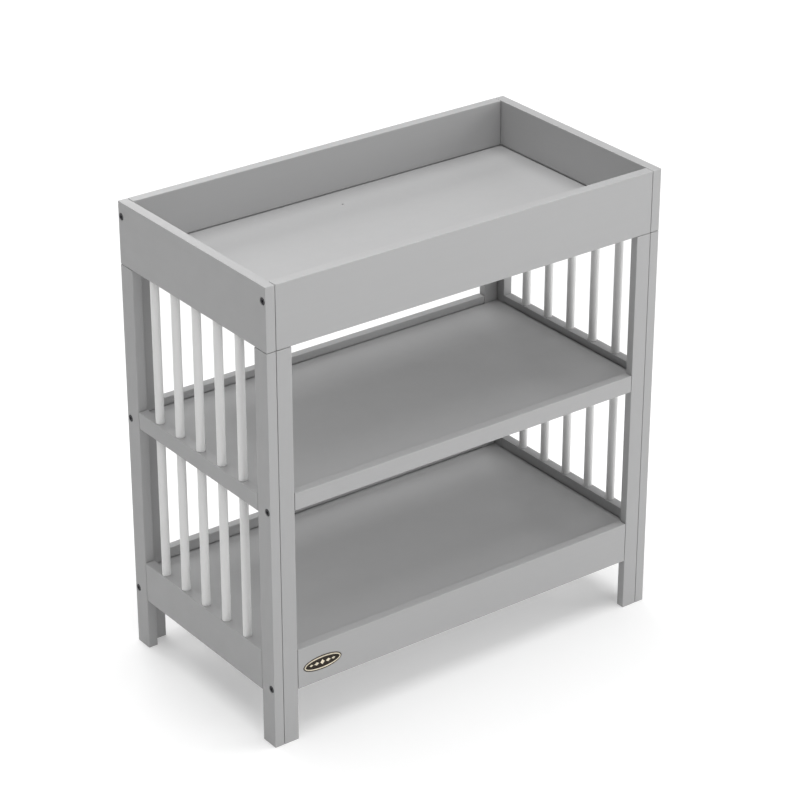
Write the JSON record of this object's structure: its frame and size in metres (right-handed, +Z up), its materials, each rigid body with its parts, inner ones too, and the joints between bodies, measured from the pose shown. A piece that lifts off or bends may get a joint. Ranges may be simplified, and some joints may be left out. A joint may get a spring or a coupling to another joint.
{
  "type": "changing table",
  "caption": "Baby changing table with a raised-edge tray on top, two open shelves and slatted ends, bolted together from painted wood.",
  "frame": {"origin": "on the floor under the middle of the table", "axes": "+X along the table from left to right as seen from the front, +Y from front to back, +Z up"},
  "size_m": [0.9, 0.478, 0.94],
  "materials": {
    "frame_paint": "light grey paint, satin, with faint brush grain",
    "panel_paint": "light grey paint on a smooth panel, satin to matte",
    "slat_paint": "white paint, satin",
    "bolt_steel": "black oxide, semi-gloss",
    "badge_metal": "aged, dark, with a polished rim"
  },
  "bodies": {
    "root": {"badge_plate": "badge_metal", "base_shelf": "panel_paint", "front_apron": "frame_paint", "front_base_cleat": "frame_paint", "front_left_batten": "frame_paint", "front_mid_rail": "frame_paint", "front_right_batten": "frame_paint", "front_tray_board": "frame_paint", "front_tray_cleat": "frame_paint", "left_bottom_rail": "frame_paint", "left_front_base_bolt": "bolt_steel", "left_front_shelf_bolt": "bolt_steel", "left_front_stile": "frame_paint", "left_front_tray_bolt": "bolt_steel", "left_lower_slat_1": "slat_paint", "left_lower_slat_2": "slat_paint", "left_lower_slat_3": "slat_paint", "left_lower_slat_4": "slat_paint", "left_lower_slat_5": "slat_paint", "left_mid_rail": "frame_paint", "left_rear_base_bolt": "bolt_steel", "left_rear_shelf_bolt": "bolt_steel", "left_rear_stile": "frame_paint", "left_rear_tray_bolt": "bolt_steel", "left_tray_end_board": "frame_paint", "left_upper_slat_1": "slat_paint", "left_upper_slat_2": "slat_paint", "left_upper_slat_3": "slat_paint", "left_upper_slat_4": "slat_paint", "left_upper_slat_5": "slat_paint", "mid_shelf": "panel_paint", "rear_apron": "frame_paint", "rear_base_cleat": "frame_paint", "rear_left_batten": "frame_paint", "rear_mid_rail": "frame_paint", "rear_right_batten": "frame_paint", "rear_tray_board": "frame_paint", "rear_tray_cleat": "frame_paint", "right_bottom_rail": "frame_paint", "right_front_base_bolt": "bolt_steel", "right_front_shelf_bolt": "bolt_steel", "right_front_stile": "frame_paint", "right_front_tray_bolt": "bolt_steel", "right_lower_slat_1": "slat_paint", "right_lower_slat_2": "slat_paint", "right_lower_slat_3": "slat_paint", "right_lower_slat_4": "slat_paint", "right_lower_slat_5": "slat_paint", "right_mid_rail": "frame_paint", "right_rear_base_bolt": "bolt_steel", "right_rear_shelf_bolt": "bolt_steel", "right_rear_stile": "frame_paint", "right_rear_tray_bolt": "bolt_steel", "right_tray_end_board": "frame_paint", "right_upper_slat_1": "slat_paint", "right_upper_slat_2": "slat_paint", "right_upper_slat_3": "slat_paint", "right_upper_slat_4": "slat_paint", "right_upper_slat_5": "slat_paint", "tray_floor": "panel_paint"}
  },
  "joints": []
}
